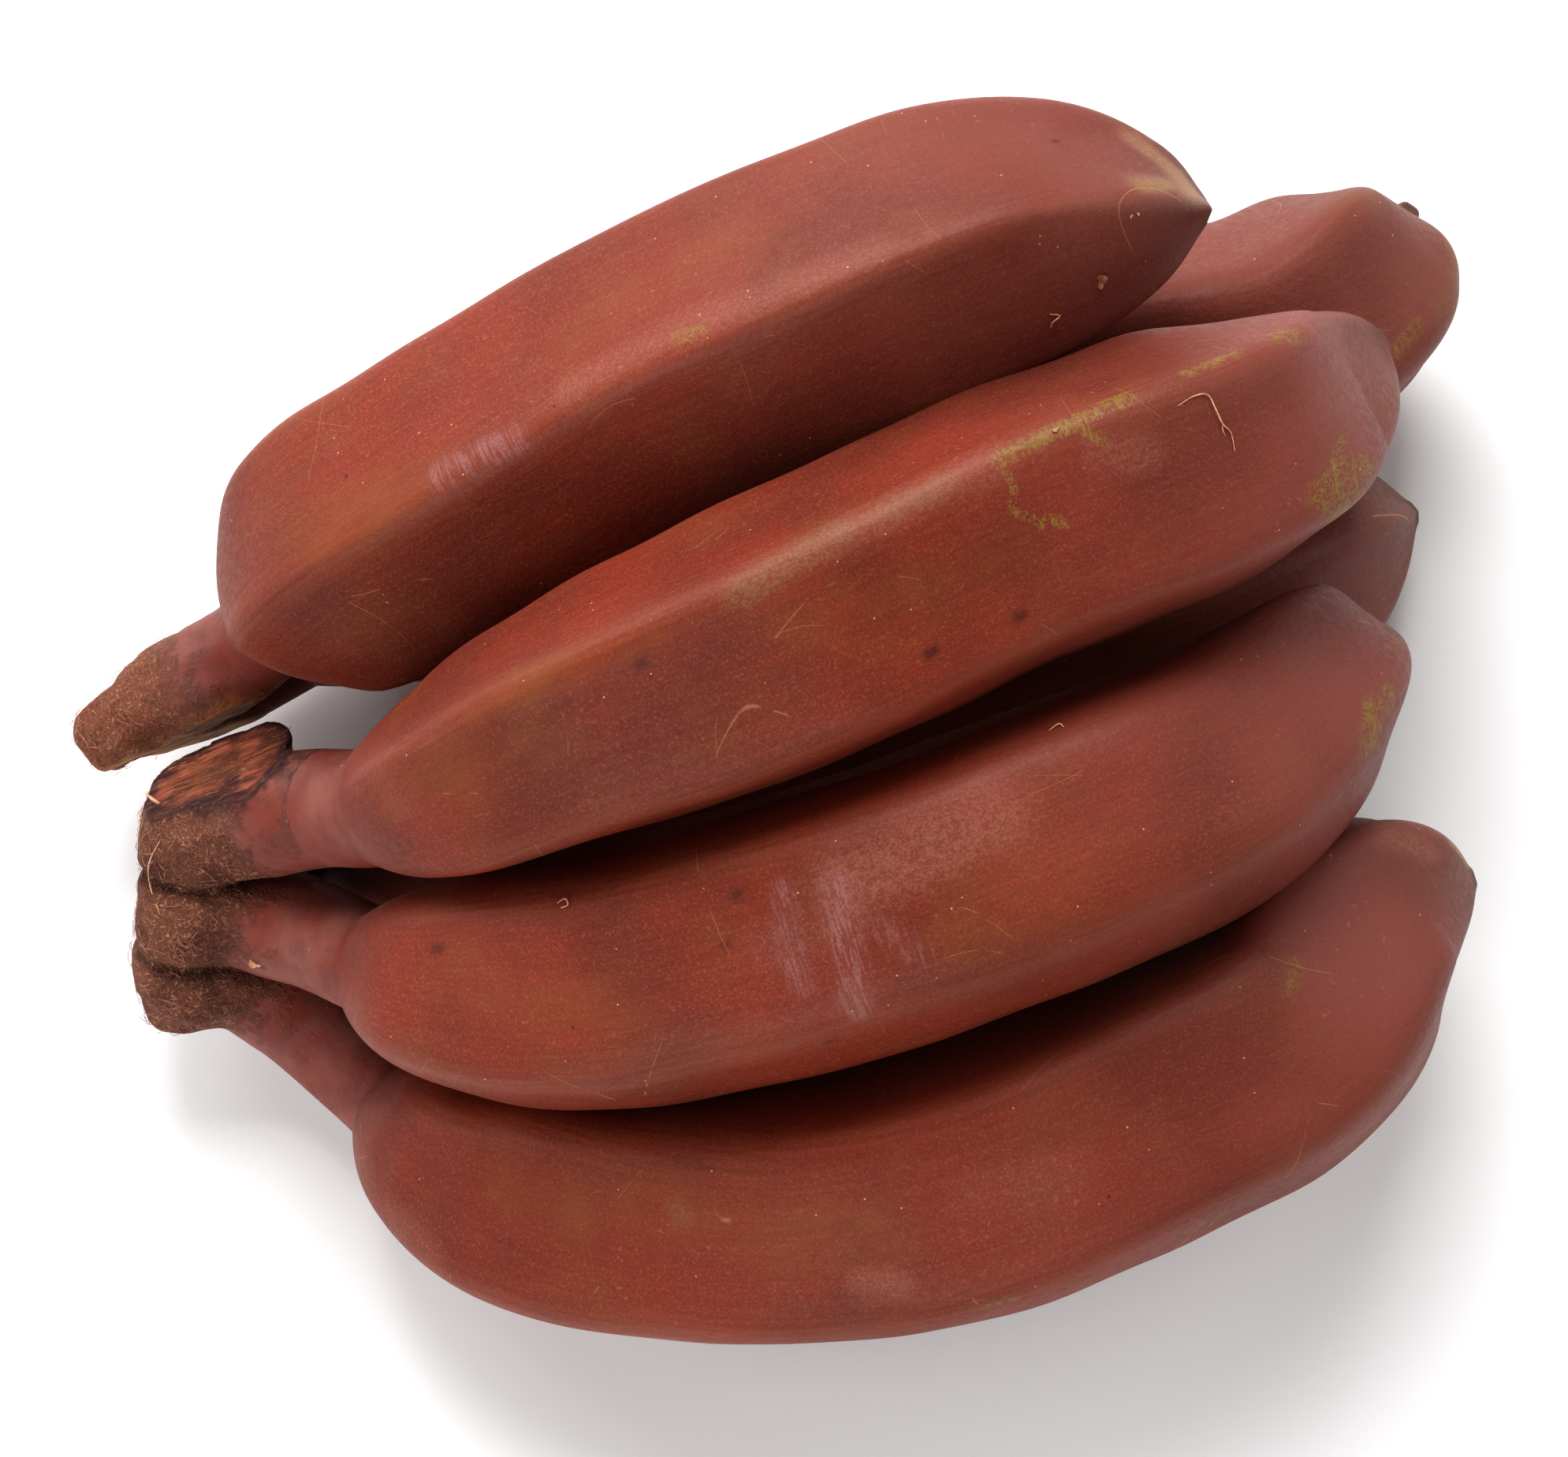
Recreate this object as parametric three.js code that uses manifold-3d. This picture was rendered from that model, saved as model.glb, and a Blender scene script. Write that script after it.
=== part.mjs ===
// A hand of six red bananas, lying as it comes to rest with its curved backs up.
// Millimetres, +Z up, +X from the crown towards the fruit tips, floor at z = 0.
import * as THREE from 'three';
import { mergeVertices } from 'three/addons/utils/BufferGeometryUtils.js';
import Module from 'manifold-3d';

// ---- Driving dimensions -------------------------------------------------

// The hand's outward side faces mostly up and leans 15 degrees towards -Y.
// SEAT sets the spines down on the floor, centred over the origin.
const OUTWARD_LEAN = 15;
const SEAT = [-0.09, -0.24, -0.31];

const NUB_FRACTION = 0.17;
const TIP_ROUNDING = 2.3;
const JOINT_GAP = 0.3;

// Five-sided cross-section: ridges in degrees from the fruit's leading ridge.
const RIDGES = [0, 78, 148, 214, 284];
const FACE_FLATNESS = 0.72;
const FACE_BLEND = 9;

const RINGS = 30;
const SIDES = 20;

const SKIN = 0x9a4836;
const SKIN_DARK = 0x7b3f35;
const SCURF = 0x644030;

// Each spine runs from the pedicel's start at the crown to the blossom end.
// root: where the pedicel starts inside the crown, neck: its length outside,
// ridge: turn of the leading ridge from the outward side,
// shoulder: share of the body over which it swells, tip: bluntness of the end.
const FINGERS = [
  {
    name: 'finger_1', colour: SKIN, radius: 20.2, neck: 15, neckRadius: 7.8, ridge: 4,
    root: [-93, 49, 30], shoulder: [0.22, 2.6], tip: 4.8,
    spine: [
      [-84, 50, 32.5], [-77.5, 51.5, 34.5], [-68.5, 53, 42.5], [-57, 53.5, 56],
      [-38.5, 54, 66.5], [-11.5, 58, 75.5], [12.5, 59, 81.5], [35.5, 60, 83.5],
      [52.5, 59.5, 79.5], [63.5, 58.5, 74], [73, 57, 67],
    ],
  },
  {
    name: 'finger_2', colour: SKIN, radius: 20.3, neck: 22, neckRadius: 8.4, ridge: 24,
    root: [-89.5, 30, 36], shoulder: [0.28, 2.3], tip: 6.0,
    spine: [
      [-80.5, 24, 41.5], [-73, 21.5, 45.5], [-65, 18, 55.5], [-54, 14.5, 68],
      [-36.5, 11.5, 79.5], [-13.5, 11.5, 85], [7.5, 12.5, 87.5], [33, 17, 83.5],
      [57.5, 22.5, 74.5], [76, 28.5, 59.5], [90.5, 35, 40],
    ],
  },
  {
    name: 'finger_3', colour: SKIN, radius: 20.5, neck: 22, neckRadius: 7.8, ridge: 34,
    root: [-95, 19, 27], shoulder: [0.28, 2.2], tip: 5.8,
    spine: [
      [-86, 12, 29], [-80, 7, 31], [-72, -1.5, 39.5], [-63, -8.5, 46.5],
      [-43.5, -17, 54.5], [-20, -21.5, 61.5], [2.5, -22.5, 66.5], [26, -20.5, 65],
      [48.5, -14.5, 56], [66.5, -7.5, 43], [79.5, 0.5, 28],
    ],
  },
  {
    name: 'finger_4', colour: SKIN, radius: 21.2, neck: 26, neckRadius: 7.8, ridge: 18,
    root: [-99, 13, 21], shoulder: [0.26, 2.4], tip: 5.2,
    spine: [
      [-91.5, 6, 16.5], [-87, -0.5, 12], [-81, -10.5, 10.5], [-72.5, -23, 13.5],
      [-59, -35, 19], [-42, -45.5, 26], [-21.5, -54, 33], [1, -58, 38],
      [25, -56, 38.5], [50, -48.5, 35.5], [67.5, -38.5, 30], [80.5, -29.5, 23],
    ],
  },
  {
    name: 'finger_5', colour: SKIN_DARK, radius: 19.5, neck: 14, neckRadius: 7.4, ridge: 10,
    root: [-94, 50, 20], shoulder: [0.26, 2.4], tip: 7.0,
    spine: [
      [-86.5, 53, 16], [-79, 55, 14], [-66.5, 57, 15.5], [-48, 58.5, 20.5],
      [-18, 56.5, 27.5], [6.5, 55, 32], [30.5, 52.5, 35], [54.5, 51, 35.5],
      [79, 50.5, 32.5], [99, 54.5, 29], [109.5, 62.5, 28],
    ],
  },
  {
    name: 'finger_6', colour: SKIN_DARK, radius: 19.3, neck: 14, neckRadius: 7.4, ridge: 0,
    root: [-94, 25, 22], shoulder: [0.26, 2.4], tip: 8.0,
    spine: [
      [-85.5, 26.5, 13.5], [-78, 26, 10.5], [-69.5, 24.5, 11], [-55, 21, 15.5],
      [-30.5, 17.5, 20.5], [-6.5, 16, 22], [18, 15.5, 22.5], [42.5, 16, 20.5],
      [65.5, 17.5, 18], [81, 19, 14.5], [93.5, 20.5, 11],
    ],
  },
];

// Crown bodies: rows of [x, y, z, half width, half depth] along the crown,
// the fruits each one carries, and the knife cut that ends it.
const CROWNS = [
  {
    name: 'crown_main', colour: SCURF, carries: ['finger_2', 'finger_3', 'finger_4', 'finger_6'],
    body: [
      [-85, 40, 38, 8.8, 11.2], [-88.5, 34, 35.5, 8.4, 13.5], [-92.5, 28.5, 32, 7.6, 15.4],
      [-96, 21.5, 28.5, 7.3, 16.3], [-99.5, 15.5, 25, 7.4, 15.8], [-102.5, 9.5, 21.5, 7.1, 13],
      [-105, 6, 18.5, 5.2, 8.4], [-106, 4.5, 18, 2.6, 4.2],
    ],
    cutPoint: [-86.5, 36, 38.5],
    cutNormal: [-0.09, 0.84, 0.53],
  },
  {
    name: 'crown_upper', colour: SCURF, carries: ['finger_1', 'finger_5'],
    body: [
      [-106, 46.5, 28.5, 3.6, 7.4], [-104.5, 47, 28.5, 4.7, 9.8], [-100.5, 48, 27.5, 5.9, 12.6],
      [-94, 49.5, 26, 6.9, 14.6], [-88.5, 51, 25, 7.6, 15.4],
    ],
    cutPoint: [-98, 43.7, 27],
    cutNormal: [0.1, -0.92, -0.38],
  },
];
const CROWN_SQUARENESS = 2.4;

// ---- Helpers --------------------------------------------------------------

const wasm = await Module();
wasm.setup();

const lean = THREE.MathUtils.degToRad(OUTWARD_LEAN);
const outward = new THREE.Vector3(0, -Math.sin(lean), Math.cos(lean));

const vec = ([x, y, z]) => new THREE.Vector3(x + SEAT[0], y + SEAT[1], z + SEAT[2]);

/** Sections square to a curve: origin, tangent, outward side and cross side. */
function frameAt(curve, t) {
  const origin = curve.getPointAt(t);
  const tangent = curve.getTangentAt(t);
  const up = outward.clone().addScaledVector(tangent, -outward.dot(tangent)).normalize();
  const side = new THREE.Vector3().crossVectors(up, tangent);
  return { origin, tangent, up, side };
}

/** A point of a section, at an angle from its outward side. */
function ringPoint(frame, angle, rUp, rSide = rUp) {
  return frame.origin.clone()
    .addScaledVector(frame.up, rUp * Math.cos(angle))
    .addScaledVector(frame.side, rSide * Math.sin(angle));
}

/** A closed skin over rings of equal length, with a flat fan on each end. */
function loft(rings) {
  const sides = rings[0].length;
  const positions = rings.flat().flatMap((p) => [p.x, p.y, p.z]);
  const middle = (ring) => ring.reduce((s, p) => s.add(p), new THREE.Vector3()).divideScalar(sides);
  const first = rings.length * sides;
  for (const ring of [rings[0], rings[rings.length - 1]]) positions.push(...middle(ring).toArray());
  const index = [];
  for (let i = 0; i < rings.length - 1; i++) {
    for (let j = 0; j < sides; j++) {
      const k = (j + 1) % sides;
      const [a, b, c, d] = [i * sides + j, i * sides + k, (i + 1) * sides + k, (i + 1) * sides + j];
      index.push(a, c, b, a, d, c);
    }
  }
  const last = (rings.length - 1) * sides;
  for (let j = 0; j < sides; j++) {
    const k = (j + 1) % sides;
    index.push(first, j, k);
    index.push(first + 1, last + k, last + j);
  }
  const geometry = new THREE.BufferGeometry();
  geometry.setAttribute('position', new THREE.Float32BufferAttribute(positions, 3));
  geometry.setIndex(index);
  return geometry;
}

/** Share of the full radius that a five-sided section reaches at an angle. */
function facetShare(angle, leading) {
  let sum = 0;
  for (let i = 0; i < RIDGES.length; i++) {
    const a = RIDGES[i];
    const b = i + 1 < RIDGES.length ? RIDGES[i + 1] : 360;
    const normal = THREE.MathUtils.degToRad(leading + (a + b) / 2);
    const depth = Math.cos(THREE.MathUtils.degToRad(((b - a) / 2) * FACE_FLATNESS));
    sum += Math.max(0, Math.cos(angle - normal) / depth) ** FACE_BLEND;
  }
  return sum ** (-1 / FACE_BLEND);
}

/** Radius and facet strength at a distance along a fruit of a given length. */
function girth(fruit, distance, length) {
  const u = Math.max(0, (distance - fruit.neck) / (length - fruit.neck));
  const [span, power] = fruit.shoulder;
  const swell = 1 - (1 - Math.min(u / span, 1)) ** power;
  const taper = 1 - Math.max(0, (u - 0.5) / 0.5) ** fruit.tip;
  const neck = fruit.neckRadius;
  let radius = (neck + (fruit.radius - neck) * swell) * taper;
  radius = Math.max(radius, NUB_FRACTION * fruit.radius);
  const end = Math.min((length - distance) / TIP_ROUNDING, 1);
  radius *= Math.sqrt(Math.max(1 - (1 - end) ** 2, 0.04));
  return { radius, facets: THREE.MathUtils.smoothstep(u, 0, 0.12) };
}

const spineOf = (fruit) => new THREE.CatmullRomCurve3(fruit.spine.map(vec), false, 'centripetal');

/** One banana with its pedicel, as rings along its spine. */
function fingerGeometry(fruit) {
  const curve = spineOf(fruit);
  curve.arcLengthDivisions = 400;
  const length = curve.getLength();
  const rings = [];
  for (let i = 0; i <= RINGS; i++) {
    const u = i / RINGS;
    const t = 0.5 * u + 0.25 * (1 - Math.cos(Math.PI * u));
    const frame = frameAt(curve, t);
    const { radius, facets } = girth(fruit, t * length, length);
    const ring = [];
    for (let j = 0; j < SIDES; j++) {
      const angle = (2 * Math.PI * j) / SIDES + THREE.MathUtils.degToRad(fruit.ridge);
      const share = facetShare(angle, fruit.ridge);
      ring.push(ringPoint(frame, angle, radius * THREE.MathUtils.lerp(1, share, facets)));
    }
    rings.push(ring);
  }
  return loft(rings);
}

const toSolid = (geometry) => {
  for (const key of Object.keys(geometry.attributes)) {
    if (key !== 'position') geometry.deleteAttribute(key);
  }
  const merged = mergeVertices(geometry, 1e-4);
  return new wasm.Manifold(new wasm.Mesh({
    numProp: 3,
    vertProperties: new Float32Array(merged.attributes.position.array),
    triVerts: new Uint32Array(merged.index.array),
  }));
};

const toGeometry = (solid) => {
  const mesh = solid.getMesh();
  const geometry = new THREE.BufferGeometry();
  geometry.setAttribute('position', new THREE.BufferAttribute(mesh.vertProperties, 3));
  geometry.setIndex(new THREE.BufferAttribute(mesh.triVerts, 1));
  return geometry;
};

/** The crown's own body: rounded oblong sections along its rows. */
function crownBody(crown) {
  const rows = crown.body;
  const curve = new THREE.CatmullRomCurve3(rows.map(vec), false, 'centripetal');
  const rings = [];
  const steps = rows.length * 2 - 2;
  for (let i = 0; i <= steps; i++) {
    const at = i / 2;
    const a = rows[Math.floor(at)];
    const b = rows[Math.ceil(at)];
    const origin = curve.getPoint(i / steps);
    const tangent = curve.getTangent(i / steps);
    const up = outward.clone().addScaledVector(tangent, -outward.dot(tangent)).normalize();
    const side = new THREE.Vector3().crossVectors(up, tangent);
    const ring = [];
    for (let j = 0; j < SIDES; j++) {
      const angle = (2 * Math.PI * j) / SIDES;
      const soft = (v) => Math.sign(v) * Math.abs(v) ** (2 / CROWN_SQUARENESS);
      const p = origin.clone()
        .addScaledVector(up, ((a[4] + b[4]) / 2) * soft(Math.cos(angle)))
        .addScaledVector(side, ((a[3] + b[3]) / 2) * soft(Math.sin(angle)));
      ring.push(p);
    }
    rings.push(ring);
  }
  return toSolid(loft(rings));
}

/** A short stub that runs from a root inside the crown to a pedicel's start. */
function stub(fruit) {
  const start = frameAt(spineOf(fruit), 0);
  const root = vec(fruit.root);
  const face = start.origin.clone().addScaledVector(start.tangent, -JOINT_GAP);
  const knee = face.clone().addScaledVector(start.tangent, -face.distanceTo(root) * 0.5);
  const curve = new THREE.QuadraticBezierCurve3(root, knee, face);
  const rings = [];
  for (let i = 0; i <= 4; i++) {
    const frame = i === 4 ? { ...start, origin: face } : frameAt(curve, i / 4);
    const ring = [];
    for (let j = 0; j < SIDES; j++) {
      ring.push(ringPoint(frame, (2 * Math.PI * j) / SIDES, fruit.neckRadius));
    }
    rings.push(ring);
  }
  return toSolid(loft(rings));
}

/** The room that a pedicel takes, with the joint gap all round. */
function clearance(fruit) {
  const curve = spineOf(fruit);
  const length = curve.getLength();
  const rings = [];
  for (let i = 0; i <= 6; i++) {
    const frame = frameAt(curve, (i / 6) * (fruit.neck / length));
    if (i === 0) frame.origin.addScaledVector(frame.tangent, -JOINT_GAP);
    const ring = [];
    for (let j = 0; j < SIDES; j++) {
      ring.push(ringPoint(frame, (2 * Math.PI * j) / SIDES, fruit.neckRadius + JOINT_GAP));
    }
    rings.push(ring);
  }
  return toSolid(loft(rings));
}

/** Crown with its stubs, ended by the flat knife cut. */
function crownGeometry(crown) {
  let solid = crownBody(crown);
  const carried = FINGERS.filter((f) => crown.carries.includes(f.name));
  for (const fruit of carried) solid = solid.add(stub(fruit));
  for (const fruit of carried) solid = solid.subtract(clearance(fruit));
  const normal = new THREE.Vector3(...crown.cutNormal).normalize();
  const offset = normal.dot(vec(crown.cutPoint));
  solid = solid.trimByPlane(normal.clone().negate().toArray(), -offset);
  return toGeometry(solid);
}

function piece(name, geometry, colour, roughness) {
  const material = new THREE.MeshStandardMaterial({ color: colour, roughness, metalness: 0 });
  const mesh = new THREE.Mesh(geometry, material);
  mesh.name = name;
  return mesh;
}

// ---- Assembly ---------------------------------------------------------------

const hand = new THREE.Group();
hand.name = 'red_banana_hand';
for (const crown of CROWNS) hand.add(piece(crown.name, crownGeometry(crown), crown.colour, 0.9));
for (const fruit of FINGERS) {
  hand.add(piece(fruit.name, fingerGeometry(fruit), fruit.colour, 0.5));
}

export default hand;
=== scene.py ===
import math

import bpy
import numpy as np
from mathutils import Matrix, Vector


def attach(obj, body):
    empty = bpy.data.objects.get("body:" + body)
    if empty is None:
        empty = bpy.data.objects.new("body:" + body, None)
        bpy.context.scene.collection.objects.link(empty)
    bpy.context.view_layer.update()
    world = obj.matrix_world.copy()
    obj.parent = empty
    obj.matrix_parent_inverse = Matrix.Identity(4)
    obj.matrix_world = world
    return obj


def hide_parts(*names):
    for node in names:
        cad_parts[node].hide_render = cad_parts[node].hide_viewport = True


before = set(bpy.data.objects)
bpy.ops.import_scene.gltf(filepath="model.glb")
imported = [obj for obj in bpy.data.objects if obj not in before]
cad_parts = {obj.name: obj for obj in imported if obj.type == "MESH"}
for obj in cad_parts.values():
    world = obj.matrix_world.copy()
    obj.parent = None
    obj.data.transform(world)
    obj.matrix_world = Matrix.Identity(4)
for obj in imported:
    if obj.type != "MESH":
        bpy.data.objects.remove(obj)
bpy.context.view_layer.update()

# ---- Sizes, in millimetres
# The spines are those of the frame's fruits, with points moved by up to 6.4 mm.

MM = 0.001
# SEAT: what every place is moved by, so that the bunch sits where the frame does.
# OUTWARD: the way the bunch faces. Turns about a spine are counted from it.
# RIDGES: turns of the five ridges from the leading one, in degrees.
SEAT = (-0.09, -0.24, -0.31)
OUTWARD = np.array([0.0, -math.sin(math.radians(15)), math.cos(math.radians(15))])
RIDGES = (0, 78, 148, 214, 284)

# root: where the pedicel starts inside the crown.  neck: its length outside.
# sleeve: how far the crown's skin runs over the neck, where it isn't SLEEVE.
# ridge: turn of the leading ridge in degrees, at the crown, its pull between, and
# at the tip.
# edge: how sharp the ridges are.  shoulder: share of the body that swells, and
# how abruptly.  tip: bluntness of the blossom end.  nub: how far it stands out of
# the body, or below 0 how much blunter the body ends.
FRUITS = {
    "finger_1": dict(
        radius=20.2, neck=15, neck_radius=7.2, root=(-93, 49, 30), ridge=(-2, -1, -1),
        edge=14, shoulder=(0.21, 2.6), tip=4.5, nub=-0.8,
        spine=[(-84, 50, 32.5), (-77.5, 51.5, 34.5), (-69.5, 52.5, 42.5), (-59.5, 52.5, 55.5),
               (-39.5, 53.5, 66.5), (-11.5, 57, 75), (12.5, 57.5, 81), (35, 59, 83),
               (50, 59.6, 79.5), (64.6, 58.4, 74.2), (72.8, 58, 68.1)]),
    "finger_2": dict(
        radius=19.7, neck=23.5, neck_radius=8.4, sleeve=10, root=(-89.5, 30, 36),
        ridge=(20, 30, 28), edge=11, shoulder=(0.8, 5), tip=4.6, nub=-0.6,
        spine=[(-80.5, 24, 41.5), (-73, 21.5, 45.5), (-64, 16.3, 55), (-52.5, 13, 68.5),
               (-36, 11.7, 80), (-13.5, 12, 85), (7.5, 13.2, 87.5), (32.5, 17.9, 83.5),
               (61.5, 21.9, 75), (74, 28.6, 60.4), (93.2, 39.6, 43.6)]),
    "finger_3": dict(
        radius=20.8, neck=22, neck_radius=7.8, root=(-95, 19, 27), ridge=(34, 36, 52),
        edge=6, shoulder=(0.26, 2.5), tip=4.6, nub=-0.6,
        spine=[(-86, 12, 29), (-80, 7, 31), (-72, -1.5, 39.5), (-63, -8.5, 46.5),
               (-43.5, -16, 54), (-19.5, -20.5, 62), (2.5, -22.4, 66.5), (26, -21, 65),
               (50.3, -16, 56), (69, -5.5, 43.4), (77.3, 2.8, 29)]),
    "finger_4": dict(
        radius=21.5, neck=26, neck_radius=7.8, root=(-99, 13, 21), ridge=(16, 34, 42),
        edge=8, shoulder=(0.23, 2.7), tip=6.8, nub=-0.3,
        spine=[(-91.5, 6, 16.5), (-87, -0.5, 12), (-81, -10.5, 11), (-73, -23.5, 14.5),
               (-59, -35, 20), (-42, -45.5, 26), (-21.5, -54, 33), (1, -57.2, 38),
               (25, -55.2, 38.5), (46.3, -51, 35), (65.8, -37.5, 30.5), (81.7, -35.8, 22.7)]),
    "finger_5": dict(
        radius=19.5, neck=14, neck_radius=7.1, root=(-94, 50, 20), ridge=(10, 10, 33),
        edge=8, shoulder=(0.26, 2.4), tip=15, nub=1.5,
        spine=[(-86.5, 53, 16), (-79, 55, 14), (-66.5, 57, 15.5), (-48, 58.5, 20.5),
               (-18, 56.5, 27.5), (6.5, 55, 32), (30.5, 52.5, 35), (54.5, 51, 35.5),
               (79, 49, 30.6), (100.5, 58, 25.2), (107.2, 64.2, 23.6)]),
    "finger_6": dict(
        radius=19.3, neck=9, neck_radius=7.4, root=(-94, 25, 22), ridge=(0, 0, 0),
        edge=8, shoulder=(0.26, 2.4), tip=8,
        spine=[(-85.5, 26, 13.5), (-79, 24, 11.5), (-70.5, 22.5, 13), (-55, 20, 16.5),
               (-30.5, 17.5, 20.5), (-6.5, 16, 22.5), (18, 15.5, 23), (42.5, 16, 21),
               (65.5, 17.5, 18.5), (81.5, 20.5, 15), (94, 22, 11.5)]),
}
# Rings along a fruit and along its last TIP_LENGTH, and points around each.
ROWS_ALONG, ROWS_AT_TIP, AROUND = 290, 20, 160
TIP_LENGTH = 5.0
SLEEVE = 4.0
# The neck's flare at the crown, and the length over which it dies away.
NECK_FLARE, FLARE_LENGTH = 1.06, 5
# The nub's radius over the fruit's, the length that rounds it off, and where its
# dry colour starts and is full, back from its end.
NUB_SHARE, NUB_CAP, NUB_DRY = 0.125, 2.3, (2.4, 0.8)
# Depth of the hollows between the ridges near the tip, and the ridges' half width
# in degrees, in the shape and in the colour.
FLUTE, FLUTE_TURN, RIDGE_TURN = 0.7, 15, 9
# The radius at which marks and patterns are laid out, and the step from one
# fruit's pattern to the next.
BODY_RADIUS, PATTERN_STEP = 20.0, 700
# Lattice of the crowns: its cells, and its margin around their middle lines.
CROWN_CELL, QUICK_CROWN_CELL, CROWN_MARGIN = 0.55, 0.9, 14
# How widely pedicels, core and trims melt into one another. The core's ends and
# sides follow |a|^n + |b|^n + |c|^n = 1.
SEAM_WIDTH, CORE_WIDTH, TRIM_WIDTH = 0.6, 2.5, 0.8
END_SHARE, CORE_POWER = 0.55, 2.4
# Groove between two pedicels: depth and width. Where the felt gets lumpy, from the
# necks. How far the cut stays off a spared neck, and over what length.
CREASE, CREASE_WIDTH, LUMPS_FROM = 0.9, 1.3, (9, 14)
LIFT, LIFT_LENGTH = 2.7, 9
# Height and width of the soft unevenness of skin, felt and cut.
SKIN_DENTS = ((0.30, 46), (0.14, 19))
FELT_LUMPS = ((0.22, 11), (0.13, 4.2))
CUT_WAVES = ((0.18, 6),)

# Marks on the skins: kind, strength, half width in mm, then the line as pairs of
# distance along the spine in mm and degrees from the outward side.
# The pale worn marks are partly rubbed wear and partly painted highlight, most of all in finger_3's
# broad patch near 110 mm and along finger_1's leading ridge.
WEAR = {
    "finger_1": [
        ("graze", 1.0, 1.5, (64, 4), (69, 3), (74, 0)), ("green", 0.45, 1.6, (160, 9), (163, 14)),
        ("green", 0.4, 1.4, (167, 34), (169, 12)), ("green", 0.6, 0.8, (101, 5), (104, 3)),
        ("scar", 0.55, 2.2, (163, 60), (167, 48), (168, 26), (168, 2)),
        ("scar", 0.35, 2.0, (160, 12), (164, 16)),
        ("worn_and_sheen", 0.45, 2.0, (84, 6), (105, 8), (126, 6)),
        ("worn_and_sheen", 0.3, 5.0, (148, -14), (158, -18)),
        ("warm", 0.9, 4.5, (48, 12), (60, 8)), ("warm", 0.5, 4.0, (88, 30), (112, 36)),
        ("dark", 0.7, 0.4, (150, 42), (150.4, 42))],
    "finger_2": [
        ("green", 1.0, 0.8, (128, 25), (136, 27), (146, 30)),
        ("green", 0.9, 0.35, (127, 25), (127, 14), (126, 6), (129, -4)),
        ("green", 1.0, 0.9, (127.2, 25), (128, 25)), ("green", 1.0, 0.7, (133, 26), (134, 26)),
        ("green", 0.7, 0.5, (139, 24), (141, 17)), ("green", 0.7, 0.6, (130, -2), (132, -8)),
        ("green", 0.7, 2.6, (165, -38), (168, -42), (167, -53)),
        ("green", 0.6, 0.9, (167, -24), (165, -32)), ("green", 0.45, 1.2, (165, 31), (167, 27)),
        ("green", 0.5, 0.8, (154, 33), (160, 33)),
        ("olive", 1.0, 1.8, (95, 22), (99, 24), (106, 28)),
        ("olive", 0.6, 1.4, (112, 26), (120, 25)), ("warm", 1.0, 2.4, (61, 25), (82, 22)),
        ("warm", 0.6, 5.0, (46, 2), (60, -8)), ("warm", 0.4, 6.0, (104, -10), (122, -16)),
        ("worn_and_sheen", 0.4, 2.2, (108, 27), (126, 25)), ("worn_and_sheen", 0.45, 2.0, (140, 14), (145, 8)),
        ("dark", 0.8, 0.6, (110, -33), (110.5, -33)), ("dark", 0.7, 0.6, (121, -35), (121.5, -35)),
        ("dark", 0.7, 0.5, (79, 12), (79.5, 12))],
    "finger_3": [
        ("graze", 0.8, 1.1, (95, 20), (94, 0), (94, -20)),
        ("graze", 1.0, 1.4, (101, 16), (100, -6), (99, -35)),
        ("graze", 0.5, 1.3, (104, -6), (107, -22)), ("worn_and_sheen", 0.45, 0.7, (99.5, -24), (99, -37)),
        ("worn_and_sheen", 0.8, 4.0, (103, 16), (110, 19), (119, 22)),
        ("worn_and_sheen", 0.3, 3.0, (92, -2), (97, 2)),
        ("green", 0.8, 1.8, (170, -22), (167, -29)), ("green", 0.6, 1.1, (174, -22), (173, -27)),
        ("green", 0.5, 0.9, (8, 62), (10, 58)),
        ("warm", 0.5, 5.0, (50, 4), (70, -8)), ("warm", 0.4, 5.0, (112, -14), (128, -14)),
        ("dark", 0.7, 0.6, (44, 19), (44.5, 19)), ("dark", 0.6, 0.6, (89, 22), (89.5, 22)),
        ("dark", 0.6, 0.5, (86, 4), (86.5, 4)), ("dark", 0.6, 0.5, (94, -48), (94.5, -48))],
    "finger_4": [
        ("warm", 1.0, 3.8, (80, -1), (88, 1)), ("warm", 0.9, 4.0, (60, -4), (68, -6)),
        ("warm", 0.5, 6.0, (98, -4), (112, -6)), ("green", 0.5, 0.9, (121, -47), (123, -48)),
        ("green", 0.35, 1.4, (169, 18), (173, 20)), ("olive", 0.7, 1.2, (86, 4), (87, 2)),
        ("worn_and_sheen", 0.6, 1.5, (108, -26), (112, -29)), ("worn_and_sheen", 0.6, 1.6, (76, -63), (83, -62)),
        ("worn_and_sheen", 0.25, 3.0, (124, -2), (134, -6)), ("worn_and_sheen", 0.4, 2.5, (41, -45), (46, -46)),
        ("worn_and_sheen", 0.7, 1.8, (195, 33), (198, 25)), ("scar", 0.7, 0.8, (204, 38), (209, 29))],
    "finger_5": [
        ("green", 0.3, 2.0, (195, -40), (194, -50)), ("green", 0.35, 1.2, (183, -36), (179, -38)),
        ("olive", 0.7, 2.6, (188, -44), (197, -52)), ("olive", 0.5, 2.5, (184, 38), (190, 26))],
    "finger_6": [
        ("green", 0.5, 1.6, (160, 40), (166, 34)), ("warm", 0.6, 5.0, (90, 20), (110, 10))],
}
WEAR_KINDS = ("green", "olive", "graze", "worn_and_sheen", "scar", "warm", "dark")

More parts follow.
